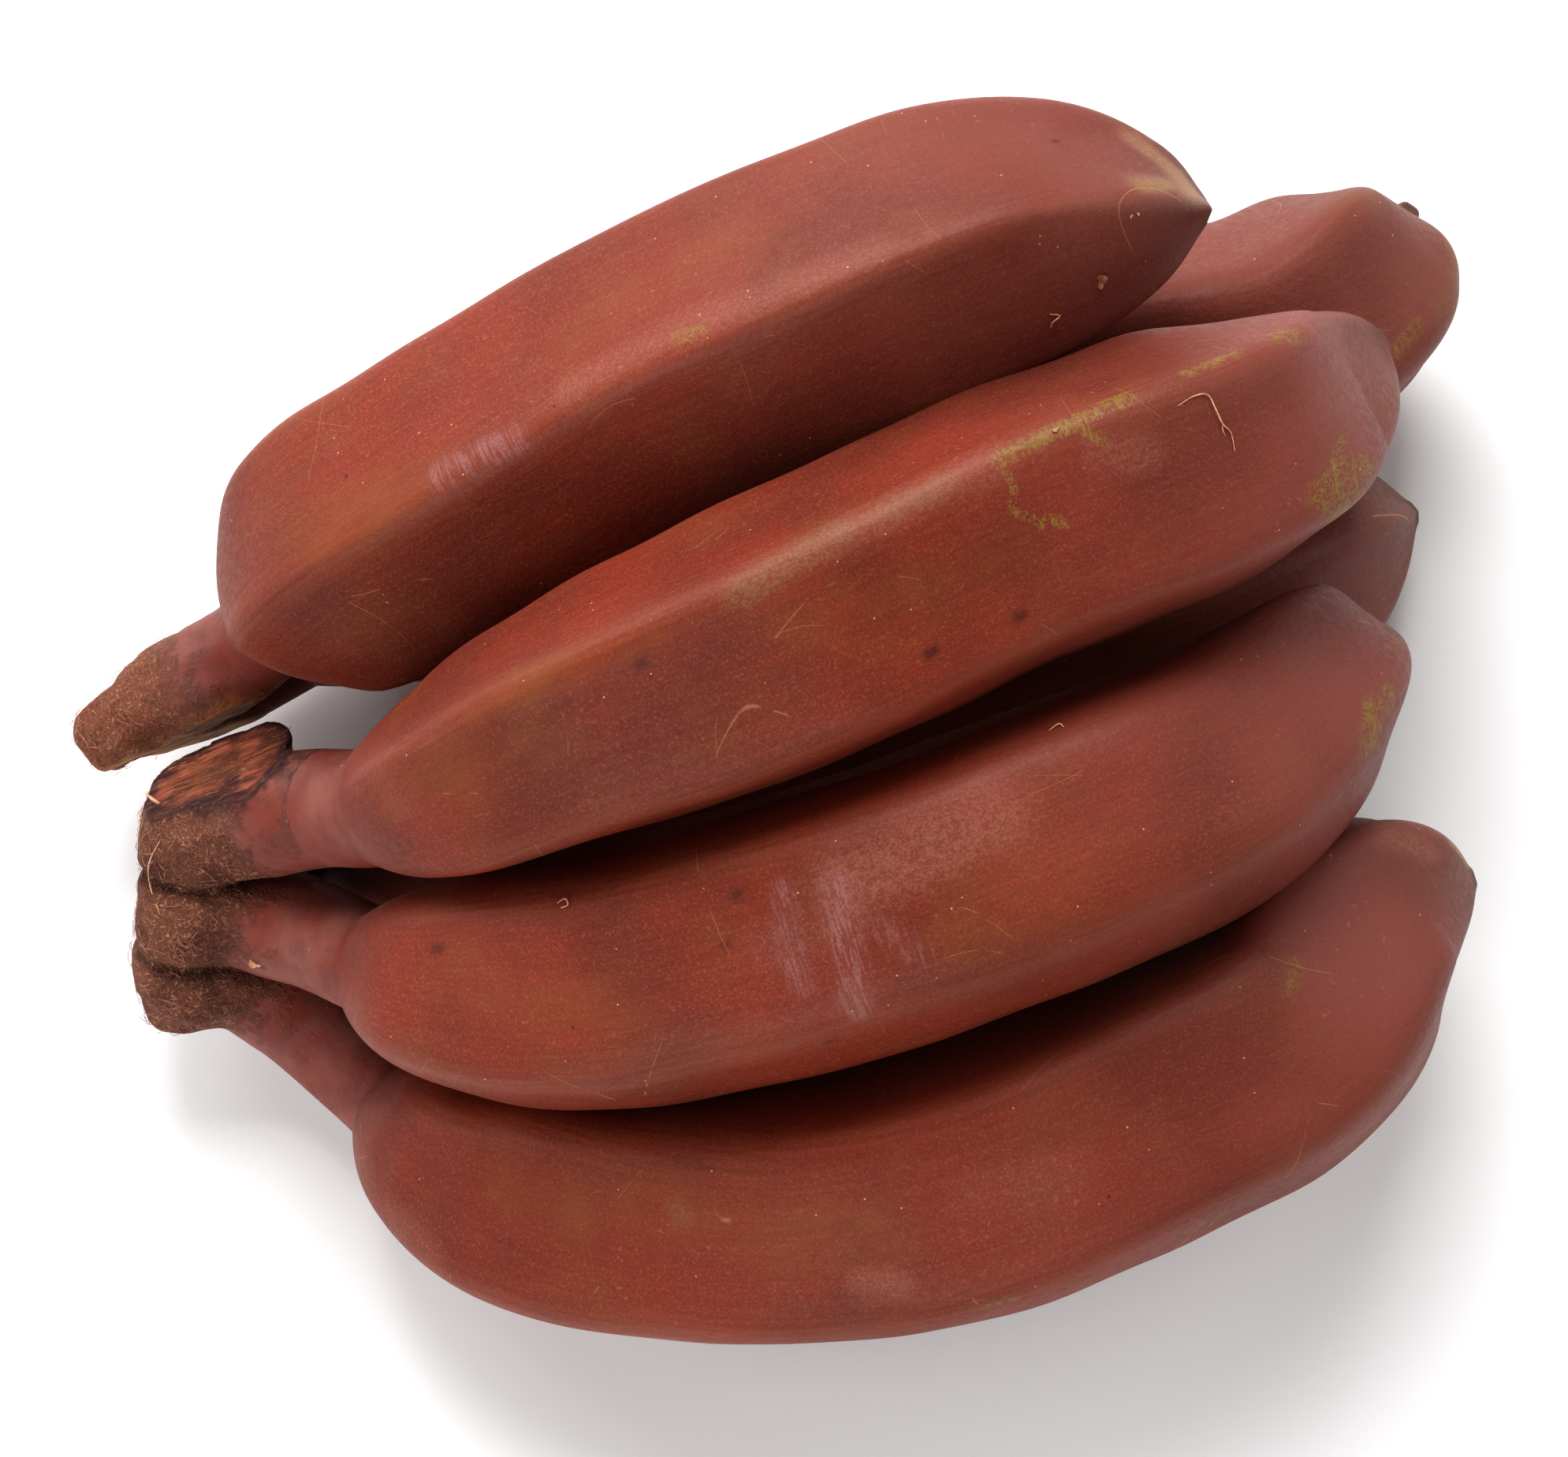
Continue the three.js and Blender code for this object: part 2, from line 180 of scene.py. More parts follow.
# core: x, y, z, half width and half depth along a crown's own body.
# roots: where each pedicel starts inside it, with the radius there.
# cut_point, cut_normal: the knife's plane.  dry: 1 where the cut is old and pale.
# felt: how far from the necks the felt starts and is full.  spares: the fruit
# whose neck the knife misses.  trims: other flat ends, as a point and a normal.
CROWNS = {
    "crown_main": dict(
        core=[(-82.5, 37.5, 41, 8.6, 8), (-86, 33, 39, 9, 8.6), (-91, 28.5, 35, 8.8, 10.5),
              (-95.2, 23.5, 28.5, 7.6, 12), (-98.8, 17.5, 24, 7.4, 12), (-102, 12, 19, 7.2, 10),
              (-103.2, 8.2, 15.5, 6.4, 7.5)],
        roots={"finger_2": (-91, 26, 36.5, 8.4), "finger_3": (-96.5, 16.5, 28.5, 8.4),
               "finger_4": (-100, 10.5, 22, 8.0), "finger_6": (-94, 25, 22, 8.0)},
        cut_point=(-84, 27.3, 47.4), cut_normal=(-0.09, 0.74, 0.67), felt=(6, 15.5), dry=0,
        spares="finger_2", trims=[]),
    "crown_upper": dict(
        core=[(-104, 48, 23.5, 5.4, 8), (-101, 49, 24, 5.6, 10), (-97, 50, 24, 6.4, 11.5),
              (-93, 51.5, 23.5, 6.8, 12.5), (-88, 53, 22, 7.4, 14)],
        roots={"finger_1": (-92, 51.3, 27, 7.0), "finger_5": (-92, 52, 19.5, 7.2)},
        cut_point=(-89, 44.9, 21.5), cut_normal=(0.09, -0.97, -0.18), felt=(5, 17.5), dry=1,
        spares=None,
        trims=[((-106.7, 46.6, 22.2), (-0.95, -0.3, -0.08)),
               ((-107.1, 51.2, 23.4), (-0.95, 0.3, 0.08)),
               ((-102.7, 54.6, 24.3), (-0.43, 0.87, 0.23))]),
}

# Loose threads that lie on a fruit: fruit, radius in mm, then places as in WEAR.
THREADS = {
    "long_hair": ("finger_2", 0.11, (151, 21), (153.2, 22.2), (154.6, 21), (155, 15), (155.3, 9),
                  (155.9, 5), (155.8, -4)),
    "hair_branch": ("finger_2", 0.08, (155.3, 9), (155.1, 6.5), (155.3, 4)),
    "curl_a": ("finger_1", 0.12, (143, -51), (144.5, -53), (143.2, -55), (143, -58)),
    "curl_b": ("finger_3", 0.12, (64.6, 33), (66, 34), (66.4, 31.5), (65.2, 31)),
    "curl_c": ("finger_3", 0.10, (129.6, 46), (131, 46.5), (131.2, 44.5)),
}
# Dry flakes: fruit, length and width in mm, and the place.
FLAKES = {
    "flake_a": ("finger_1", 2.4, 1.5, (153, -44)), "flake_b": ("finger_1", 0.7, 0.4, (157, -8)),
    "flake_c": ("finger_1", 0.6, 0.4, (158, -7)), "flake_d": ("finger_2", 1.1, 0.6, (135.5, 27)),
}
# Threads on the main crown: radius in mm, then points.
STRANDS = {
    "crown_strand": (0.13, (-96.9, 24.7, 44), (-99.6, 22.8, 41.3), (-100.9, 20.4, 37.4),
                     (-100.7, 16.2, 37.2)),
    "crown_spike": (0.28, (-94, 28.6, 41.5), (-96, 31, 42), (-97.2, 32.8, 42.2)),
}
CROWN_FLAKE = ((-90.1, 5.8, 33), 1.7, 1.2)
# Fibres on each crown, tried points for each, then radius, height over the felt,
# and the ranges of length, bend and rise.
FUZZ = {"crown_main": 300, "crown_upper": 130}
FUZZ_TRIES, FUZZ_RADIUS, FUZZ_GAP = 20, 0.05, 0.03
FUZZ_RANGES = ((1.0, 3.0), (-1.1, 1.1), (0.05, 0.5))

# ---- Curves, noise and meshes


def smooth(low, high, value):
    """0 at low, 1 at high, and 3t^2 - 2t^3 between."""
    t = np.clip((value - low) / (high - low), 0, 1)
    return t * t * (3 - 2 * t)


def unit(vectors):
    """The same directions with length 1."""
    vectors = np.asarray(vectors, float)
    return vectors / np.linalg.norm(vectors, axis=-1, keepdims=True)


def centripetal(points, per_span=60):
    """Centripetal Catmull-Rom curve: one cubic for each span, whose end slopes
    weigh the neighbouring chords by the square roots of their lengths."""
    points = np.array(points, float) + SEAT
    p = np.vstack([2 * points[0] - points[1], points, 2 * points[-1] - points[-2]])
    step = np.sqrt(np.linalg.norm(np.diff(p, axis=0), axis=1))[:, None]
    d0, d1, d2 = step[:-2], step[1:-1], step[2:]
    p0, p1, p2, p3 = p[:-3], p[1:-2], p[2:-1], p[3:]
    m1 = ((p1 - p0) / d0 - (p2 - p0) / (d0 + d1) + (p2 - p1) / d1) * d1
    m2 = ((p2 - p1) / d1 - (p3 - p1) / (d1 + d2) + (p3 - p2) / d2) * d1
    t = np.linspace(0, 1, per_span, endpoint=False)[None, :, None]
    a, b, m1, m2 = p1[:, None], p2[:, None], m1[:, None], m2[:, None]
    curve = a + m1 * t + (3 * (b - a) - 2 * m1 - m2) * t**2 + (2 * (a - b) + m1 + m2) * t**3
    return np.vstack([curve.reshape(-1, 3), points[-1]])


def outward_frame(tangent):
    """The side of a path that faces out of the bunch, and the side across it."""
    up = unit(OUTWARD - (tangent @ OUTWARD)[:, None] * tangent)
    return up, np.cross(up, tangent)


def spine_length(points):
    """Sum of the short steps along a spine's curve."""
    curve = centripetal(points)
    return np.linalg.norm(np.diff(curve, axis=0), axis=1).sum()


def along_spine(points, at):
    """Origin, tangent, outward side and cross side at distances along a spine."""
    curve = centripetal(points)
    reach = np.r_[0, np.cumsum(np.linalg.norm(np.diff(curve, axis=0), axis=1))]

    def place(s):
        return np.stack([np.interp(s, reach, curve[:, k]) for k in range(3)], -1)

    low, high = np.clip(at - 0.6, 0, reach[-1]), np.clip(at + 0.6, 0, reach[-1])
    tangent = unit(place(high) - place(low))
    up, side = outward_frame(tangent)
    return place(at), tangent, up, side


def wobble(points, size, seed, waves=14):
    """Smooth noise of about -1 to 1: a sum of sine waves of one length that run
    in seeded directions, over the root of their number."""
    rng = np.random.default_rng(seed)
    way = unit(rng.normal(size=(waves, 3))) * 2 * math.pi / size
    phase = rng.uniform(0, 2 * math.pi, waves)
    return np.sin(points @ way.T + phase).sum(-1) / math.sqrt(waves)


def uneven(points, sizes, seed):
    """Sum over sizes of height * wobble at that width, each with its own seed."""
    return sum(high * wobble(points, wide, seed + k) for k, (high, wide) in enumerate(sizes))


def skin_piece(name, node, points, quads, tris, marks, material):
    """A smooth-shaded mesh with its marks as point attributes, in place of a node."""
    mesh = bpy.data.meshes.new(name)
    mesh.vertices.add(len(points))
    mesh.vertices.foreach_set("co", (points * MM).ravel())
    mesh.loops.add(quads.size + tris.size)
    mesh.loops.foreach_set("vertex_index", np.r_[quads.ravel(), tris.ravel()])
    mesh.polygons.add(len(quads) + len(tris))
    starts = np.r_[np.arange(len(quads)) * 4, quads.size + np.arange(len(tris)) * 3]
    mesh.polygons.foreach_set("loop_start", starts)
    mesh.update(calc_edges=True)
    mesh.validate()
    mesh.shade_smooth()
    for key, value in marks.items():
        kind, field = ("FLOAT_VECTOR", "vector") if value.ndim == 2 else ("FLOAT", "value")
        mesh.attributes.new(key, kind, "POINT").data.foreach_set(field, value.ravel())
    mesh.materials.append(material)
    piece = bpy.data.objects.new(name, mesh)
    bpy.context.collection.objects.link(piece)
    if node:
        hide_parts(node)
    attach(piece, "root")
    return piece


def ring_faces(rows, cols):
    """Quads between neighbouring rings, and a fan to a middle point at each end."""
    ids = np.arange(rows * cols).reshape(rows, cols)
    nxt = np.roll(ids, -1, axis=1)
    quads = np.stack([ids[:-1], ids[1:], nxt[1:], nxt[:-1]], -1).reshape(-1, 4)
    first = np.stack([ids[0], nxt[0], np.full(cols, rows * cols)], -1)
    last = np.stack([nxt[-1], ids[-1], np.full(cols, rows * cols + 1)], -1)
    return quads, np.vstack([first, last])


def with_middles(values):
    """Ring values as one list, with the mean of the first and the last ring added."""
    flat = values.reshape(values.shape[0] * values.shape[1], -1)
    out = np.vstack([flat, values[0].mean(0).reshape(1, -1), values[-1].mean(0).reshape(1, -1)])
    return out[:, 0] if values.ndim == 2 else out


# ---- Fruit


def fruit_seed(name):
    """Each fruit's own seed, by its place in FRUITS."""
    return 10 * list(FRUITS).index(name) + 1


def section_share(angle, leading, edge):
    """Radius of a rounded five-sided section over its full radius:
    (sum over faces of max(0, cos(angle - normal) / depth)^edge)^(-1/edge)."""
    total = 0
    for low, high in zip(RIDGES, RIDGES[1:] + (360,)):
        normal = np.radians(leading + (low + high) / 2)
        depth = math.cos(math.radians((high - low) / 2 * 0.72))
        total = total + np.maximum(0, np.cos(angle - normal) / depth) ** edge
    return total ** (-1 / edge)


def girth(fruit, at, length):
    """Radius along a fruit: the neck swells as 1 - (1 - u/span)^power, the blossom
    end tapers as 1 - (2u - 1)^tip, and a small round nub closes it."""
    u = np.maximum(0, (at - fruit["neck"]) / (length - fruit["neck"]))
    full = np.minimum(1, u * (1 + fruit.get("nub", 0) / length))
    span, power = fruit["shoulder"]
    swell = 1 - (1 - np.minimum(u / span, 1)) ** power
    taper = 1 - np.maximum(0, 2 * full - 1) ** fruit["tip"]
    neck = fruit["neck_radius"] * (1 + (NECK_FLARE - 1) * np.exp(-at / FLARE_LENGTH))
    body = (neck + (fruit["radius"] - neck) * swell) * taper
    nub = NUB_SHARE * fruit["radius"]
    radius = (body**5 + nub**5) ** 0.2
    end = np.clip((length - at) / NUB_CAP, 0, 1)
    return radius * np.maximum(1 - (1 - end) ** 2.4, 0.0004) ** (1 / 2.2), u


def fruit_grid(fruit, seed):
    """Rings along a spine, each a five-sided section, with shallow dents. Near the
    blossom end the faces sink between the ridges. The leading ridge turns as
    (1-u)^2 low + 2u(1-u) middle + u^2 high."""
    length = spine_length(fruit["spine"])
    row = np.linspace(0, 1, ROWS_ALONG, endpoint=False)
    first = fruit.get("sleeve", SLEEVE) - 1
    eased = 0.5 * row + 0.25 * (1 - np.cos(np.pi * row))
    body_rows = first + eased * (length - TIP_LENGTH - first)
    tip_rows = length - TIP_LENGTH * (1 - np.linspace(0, 1, ROWS_AT_TIP)) ** 1.6
    at = np.r_[body_rows, tip_rows]
    origin, _, up, side = along_spine(fruit["spine"], at)
    radius, u = girth(fruit, at, length)
    angle = np.linspace(-math.pi, math.pi, AROUND, endpoint=False)[None]
    low, middle, high = fruit["ridge"]
    leading = ((1 - u) ** 2 * low + 2 * u * (1 - u) * middle + u**2 * high)[:, None]
    facets = smooth(0, 0.12, u)[:, None]
    share = section_share(angle, leading, fruit["edge"])
    turn = np.degrees(angle) - leading
    near = np.min([np.abs((turn - r + 180) % 360 - 180) for r in RIDGES], axis=0)
    flute = FLUTE * (smooth(0.78, 0.92, u) * smooth(1.0, 0.96, u))[:, None]
    hollow = flute * (1 - np.exp(-(near / FLUTE_TURN) ** 2))
    reach = radius[:, None] * (1 + (share - 1) * facets) - hollow
    ray = np.cos(angle)[..., None] * up[:, None] + np.sin(angle)[..., None] * side[:, None]
    grid = origin[:, None] + reach[..., None] * ray
    body = (smooth(0.02, 0.2, u) * smooth(1.0, 0.9, u))[:, None]
    dent = uneven(grid, SKIN_DENTS, seed)
    grid = grid + (dent * body)[..., None] * ray
    return grid, at, u, angle, facets, near


def wear_marks(name, at, turned):
    """Each kind of mark: strength * (1 at the line, 0 at twice its half width), the
    distance being measured on the skin as if it were a cylinder laid out flat."""
    marks = {kind: np.zeros((len(at), turned.shape[-1])) for kind in WEAR_KINDS}
    flat = np.stack(np.broadcast_arrays(at[:, None], BODY_RADIUS * turned), -1)
    for kind, strength, width, *line in WEAR[name]:
        line = np.array(line, float) * (1, math.radians(BODY_RADIUS))
        near = np.full(flat.shape[:2], 1e9)
        for start, end in zip(line[:-1], line[1:]):
            way = end - start
            t = np.clip((flat - start) @ way / (way @ way), 0, 1)
            near = np.minimum(near, np.linalg.norm(flat - start - t[..., None] * way, axis=-1))
        marks[kind] = np.maximum(marks[kind], strength * (1 - smooth(0.4, 2, near / width)))
    return marks


def fruit_piece(name, fruit, seed, material):
    """The whole fruit with its neck, and the marks that its skin reads."""
    grid, at, u, angle, facets, near = fruit_grid(fruit, seed)
    wide = np.ones_like(near)
    straight = np.stack([BODY_RADIUS * np.cos(angle) * wide, BODY_RADIUS * np.sin(angle) * wide,
                         at[:, None] * wide + PATTERN_STEP * seed], -1) * MM
    marks = {
        "straight": straight,
        "ridge": np.exp(-(near / RIDGE_TURN) ** 2) * facets,
        "neck": (1 - smooth(0.0, 0.09, u))[:, None] * wide,
        "bloom": smooth(0.40, 0.95, u)[:, None] * wide,
        "tip": smooth(0.86, 1.0, u)[:, None] * wide,
        "nub": smooth(at[-1] - NUB_DRY[0], at[-1] - NUB_DRY[1], at)[:, None] * wide,
    }
    marks.update(wear_marks(name, at, angle))
    quads, tris = ring_faces(*grid.shape[:2])
    return skin_piece(name + "_fruit", name, with_middles(grid), quads, tris,
                      {key: with_middles(value) for key, value in marks.items()}, material)


# ---- Crown


def round_union(a, b, width):
    """The lower of two fields, with the corner between them rounded by width."""
    h = np.clip(0.5 + 0.5 * (b - a) / width, 0, 1)
    return b + (a - b) * h - width * h * (1 - h)


def bar(points, path, radii):
    """Distance to a round bar along a path whose radius changes evenly."""
    best = np.full(points.shape[:-1], 1e9)
    for start, end, r0, r1 in zip(path[:-1], path[1:], radii[:-1], radii[1:]):
        way = end - start
        t = np.clip((points - start) @ way / (way @ way), 0, 1)
        gap = np.linalg.norm(points - start - t[..., None] * way, axis=-1) - (r0 + (r1 - r0) * t)
        best = np.minimum(best, gap)
    return best


def pedicel_path(fruit, root):
    """A bend from a root in the crown to a fruit's neck, then a sleeve over the
    neck's first millimetres that ends inside it, with the radii."""
    reach = fruit.get("sleeve", SLEEVE) * np.array([0.0, 0.35, 0.7, 1.0])
    reach = np.r_[reach, reach[-1] + 1.8]
    sleeve, tangent, _, _ = along_spine(fruit["spine"], reach)
    foot = np.array(root[:3], float) + SEAT
    knee = sleeve[0] - tangent[0] * np.linalg.norm(sleeve[0] - foot) * 0.5
    t = np.linspace(0, 1, 6)[:-1, None]
    path = (1 - t) ** 2 * foot + 2 * t * (1 - t) * knee + t**2 * sleeve[0]
    over = girth(fruit, reach, spine_length(fruit["spine"]))[0] + (0.12, 0.12, 0.12, 0.1, -0.8)
    radii = np.r_[root[3] + (over[0] - root[3]) * t[:, 0], over]
    return np.vstack([path, sleeve]), radii


def crown_core(points, crown):
    """A flattened bar along the core's rows. Each point takes the nearest place
    of the axis: (|a|^n + |b|^n + |c|^n)^(1/n) - 1 in half sizes, n = CORE_POWER."""
    rows = np.array(crown["core"], float)
    axis = centripetal(rows[:, :3], 8)
    where = np.linspace(0, len(rows) - 1, len(axis))
    half = np.stack([np.interp(where, np.arange(len(rows)), rows[:, k]) for k in (3, 4)], -1)
    tangent = unit(np.gradient(axis, axis=0))
    up, side = outward_frame(tangent)
    near = np.linalg.norm(points[:, None] - axis, axis=-1).argmin(-1)
    away = points - axis[near]
    a = np.abs((away * side[near]).sum(-1)) / half[near, 0]
    b = np.abs((away * up[near]).sum(-1)) / half[near, 1]
    c = np.abs((away * tangent[near]).sum(-1)) / (END_SHARE * half[near, 0])
    size = (a**CORE_POWER + b**CORE_POWER + c**CORE_POWER) ** (1 / CORE_POWER)
    return (size - 1) * half[near, 0]


def to_necks(points, crown):
    """Distance to the nearest point on a neck's middle line, 5 mm into the neck."""
    middles = [along_spine(FRUITS[name]["spine"], np.array([5.0]))[0] for name in crown["roots"]]
    return np.min([np.linalg.norm(points - middle, axis=-1) for middle in middles], axis=0)


def crown_field(points, crown, seed):
    """Below 0 inside: the pedicels' roots, the core, a groove where two pedicels are
    equally near, the felt's lumps, the trims, and the cut, which lifts off a spared
    neck. Also gives the field before the cut, the cut's plane and the groove."""
    bars = np.array([bar(points, *pedicel_path(FRUITS[name], root))
                     for name, root in crown["roots"].items()])
    field = bars[0]
    for one in bars[1:]:
        field = round_union(field, one, SEAM_WIDTH)
    field = round_union(field, crown_core(points, crown), CORE_WIDTH)
    nearest = np.sort(bars, axis=0)
    crease = np.exp(-((nearest[1] - nearest[0]) / CREASE_WIDTH) ** 2)
    field = field + CREASE * crease
    rough = smooth(*LUMPS_FROM, to_necks(points, crown))
    field = field - rough * uneven(points, FELT_LUMPS, seed)
    for point, normal in crown["trims"]:
        beyond = (points - np.array(point) - SEAT) @ unit(normal)
        field = -round_union(-field, -beyond, TRIM_WIDTH)
    plane = (points - np.array(crown["cut_point"]) - SEAT) @ unit(crown["cut_normal"])
    plane = plane + uneven(points, CUT_WAVES, seed + 2)
    if crown["spares"]:
        start, _, _, _ = along_spine(FRUITS[crown["spares"]]["spine"], np.array([0.0, 4.0]))
        ahead = (points - start[0]) @ unit(start[1] - start[0])
        plane = plane - LIFT * smooth(0, LIFT_LENGTH, ahead)
    return np.maximum(field, plane), field, plane, crease


def surface_net(field, low, cell):
    """One point in each cell that the surface crosses, at the mean of the crossings
    of its edges, and a quad around each grid edge that changes sign."""
    inside = field < 0
    shape = np.array(field.shape) - 1
    corner = [(i, j, k) for i in (0, 1) for j in (0, 1) for k in (0, 1)]

    def part(values, a):
        return values[tuple(slice(a[d], a[d] + shape[d]) for d in range(3))]

    count, total = np.zeros(shape), np.zeros((*shape, 3))
    for a in corner:
        for d in range(3):
            if a[d] == 0:
                b = tuple(a[k] + (k == d) for k in range(3))
                fa, fb = part(field, a), part(field, b)
                cross = part(inside, a) != part(inside, b)
                t = np.where(cross, fa / np.where(cross, fa - fb, 1), 0)
                spot = np.zeros((*shape, 3)) + a
                spot[..., d] += t
                total += np.where(cross[..., None], spot, 0)
                count += cross
    used = count > 0
    ids = np.full(shape, -1)
    ids[used] = np.arange(used.sum())
    base = np.argwhere(used)
    points = low + cell * (base + total[used] / count[used][:, None])
    quads = []
    for d in range(3):
        e, f = (d + 1) % 3, (d + 2) % 3
        core = [slice(1, -1)] * 3
        core[d] = slice(0, -1)
        ahead = [slice(1, -1)] * 3
        ahead[d] = slice(1, None)
        a, b = inside[tuple(core)], inside[tuple(ahead)]
        spots = np.argwhere(a != b)
        spots[:, e] += 1
        spots[:, f] += 1
        flip = a[a != b]
        steps = [(0, 0), (-1, 0), (-1, -1), (0, -1)]
        around = []
        for de, df in steps:
            q = spots.copy()
            q[:, e] += de
            q[:, f] += df
            around.append(ids[q[:, 0], q[:, 1], q[:, 2]])
        ring = np.stack(around, -1)
        quads.append(np.where(flip[:, None], ring, ring[:, ::-1]))
    return points, np.vstack(quads)


def onto_surface(points, crown, seed, steps=3):
    """Points moved onto the zero surface of a crown's field by Newton steps that are
    held short, and the field's slope at each."""
    reach, share, least = 0.05, 0.8, 0.2
    for _ in range(steps):
        value = crown_field(points, crown, seed)[0]
        slope = np.stack([crown_field(points + reach * np.eye(3)[k], crown, seed)[0] - value
                          for k in range(3)], -1) / reach
        steepness = np.maximum((slope**2).sum(-1), least)
        points = points - share * (value / steepness)[:, None] * slope
    return points, slope


def crown_piece(name, crown, seed, material):
    """The crown as the zero surface of its field."""
    cell = CROWN_CELL
    rows = np.array(crown["core"], float)[:, :3]
    necks = np.vstack([FRUITS[n]["spine"][:3] for n in crown["roots"]])
    cloud = np.vstack([rows, necks])
    low, high = cloud.min(0) - CROWN_MARGIN, cloud.max(0) + CROWN_MARGIN
    axes = [np.arange(low[k], high[k], cell) for k in range(3)]
    lattice = np.stack(np.meshgrid(*axes, indexing="ij"), -1)
    parts = np.array_split(lattice.reshape(-1, 3), 40)
    field = np.concatenate([crown_field(part, crown, seed)[0] for part in parts])
    points, quads = surface_net(field.reshape(lattice.shape[:3]), low, cell)
    points, _ = onto_surface(points, crown, seed)
    _, uncut, plane, crease = crown_field(points, crown, seed)
    normal = unit(crown["cut_normal"])
    along = unit(np.cross(normal, np.cross(rows[-1] - rows[0], normal)))
    cut_axes = np.stack([along, np.cross(normal, along), normal])
    marks = {
        "cut": smooth(-0.45, -0.1, plane),
        "scurf": smooth(*crown["felt"], to_necks(points, crown)),
        "straight": (points - crown["cut_point"]) @ cut_axes.T * MM,
        "rim": smooth(2.4, 0.2, np.maximum(-uncut, -plane)),
        "crease": crease,
        "dry": np.full(len(points), float(crown["dry"])),
    }
    tris = np.zeros((0, 3), int)
    return skin_piece(name + "_body", name, points, quads, tris, marks, material)


# ---- Threads, flakes and fuzz


def thread_grid(path, radius, sides):
    """Rings across a path, of radius * (0.35 + 0.65 * sqrt(sin(pi * share along)))."""
    up, side = outward_frame(unit(np.gradient(path, axis=0)))
    along = np.linspace(0, 1, len(path))[:, None]
    girth_here = radius * (0.35 + 0.65 * np.sin(np.pi * along) ** 0.5)
    turn = np.linspace(-math.pi, math.pi, sides, endpoint=False)[None, :, None]
    ray = np.cos(turn) * up[:, None] + np.sin(turn) * side[:, None]
    return path[:, None] + girth_here[..., None] * ray


def flake_grid(point, out, length, width, seed):
    """A thin curled chip: a flattened ball whose outline goes in and out as
    sin(3 turn) and sin(5 turn), raised at both ends by 0.14 * length * x^2."""
    rng = np.random.default_rng(seed)
    ahead = unit(np.cross(out, rng.normal(size=3)))
    side = np.cross(ahead, out)
    fall = np.linspace(math.pi - 0.2, 0.2, 7)[:, None]
    turn = np.linspace(-math.pi, math.pi, 16, endpoint=False)[None]
    ragged = 1 + 0.2 * np.sin(3 * turn + rng.uniform(0, 6)) + 0.1 * np.sin(5 * turn)
    x, y = (np.cos(turn) * np.sin(fall) * ragged, np.sin(turn) * np.sin(fall) * ragged)
    z = 0.08 * np.cos(fall) + 0.14 * length * x**2 + 0.1
    return (point + length / 2 * x[..., None] * ahead + width / 2 * y[..., None] * side
            + z[..., None] * out)


def loose_piece(name, grids, material):
    """One mesh of several small closed shapes, each given as rings."""
    points, quads, tris, base = [], [], [], 0
    for grid in grids:
        ring, fan = ring_faces(*grid.shape[:2])
        points.append(with_middles(grid))
        quads.append(ring + base)
        tris.append(fan + base)
        base += len(points[-1])
    return skin_piece(name, None, np.vstack(points), np.vstack(quads), np.vstack(tris), {},
                      material)


def skin_places(name, places):
    """Points on a fruit's skin, for places as in WEAR, and the way out of it there."""
    grid, at, *_ = fruit_grid(FRUITS[name], fruit_seed(name))
    places = np.array(places, float)
    row = np.interp(places[:, 0], at, np.arange(len(at)))
    col = (np.radians(places[:, 1]) + math.pi) / (2 * math.pi) * AROUND
    r, c = row.astype(int), col.astype(int)
    fr, fc = (row - r)[:, None], (col - c)[:, None]

    def pick(i, j):
        return grid[np.minimum(i, len(at) - 1), j % AROUND]

    points = ((1 - fr) * ((1 - fc) * pick(r, c) + fc * pick(r, c + 1))
              + fr * ((1 - fc) * pick(r + 1, c) + fc * pick(r + 1, c + 1)))
    return points, unit(points - grid[r].mean(1))


def thread_on_skin(name, fruit, radius, places, material):
    """A thread through places on a fruit, raised a little between its ends."""
    points, out = skin_places(fruit, places)
    rise = radius + 0.3 * np.sin(np.linspace(0, math.pi, len(points)))[:, None]
    path = centripetal(points + rise * out - SEAT, 7)
    return loose_piece(name, [thread_grid(path, radius, 6)], material)


def fuzz(name, crown, count, seed, material):
    """Short curled fibres that lie on the felt, at random places on the surface."""
    rng = np.random.default_rng(seed)
    rows = np.array(crown["core"], float)[:, :3]
    tries = rng.uniform(rows.min(0) - CROWN_MARGIN, rows.max(0) + CROWN_MARGIN,
                        (FUZZ_TRIES * count, 3))
    points, slope = onto_surface(tries, crown, seed, 5)
    value, _, plane, _ = crown_field(points, crown, seed)
    low, high = crown["felt"]
    felted = to_necks(points, crown) > 0.4 * low + 0.6 * high
    good = (np.abs(value) < 0.1) & (plane < -0.5) & felted
    points, out = points[good][:count], unit(slope[good][:count])
    ahead = unit(np.cross(out, rng.normal(size=points.shape)))
    side = np.cross(ahead, out)
    length, bend, rise = (rng.uniform(least, most, (len(points), 1))
                          for least, most in FUZZ_RANGES)
    grids = []
    for k in range(len(points)):
        t = np.linspace(0, 1, 6)[:, None]
        path = points[k] + length[k] * (t * ahead[k] + bend[k] * t**2 * side[k]) \
            + (FUZZ_GAP + rise[k] * np.sin(np.pi * t)) * out[k]
        grids.append(thread_grid(path, FUZZ_RADIUS, 3))
    return loose_piece(name, grids, material)


# ---- Materials


def srgb(r, g, b):
    """Linear colour from display values of 0 to 255."""
    c = np.array([r, g, b]) / 255
    c = np.where(c <= 0.04045, c / 12.92, ((c + 0.055) / 1.055) ** 2.4)
    return (*c, 1.0)


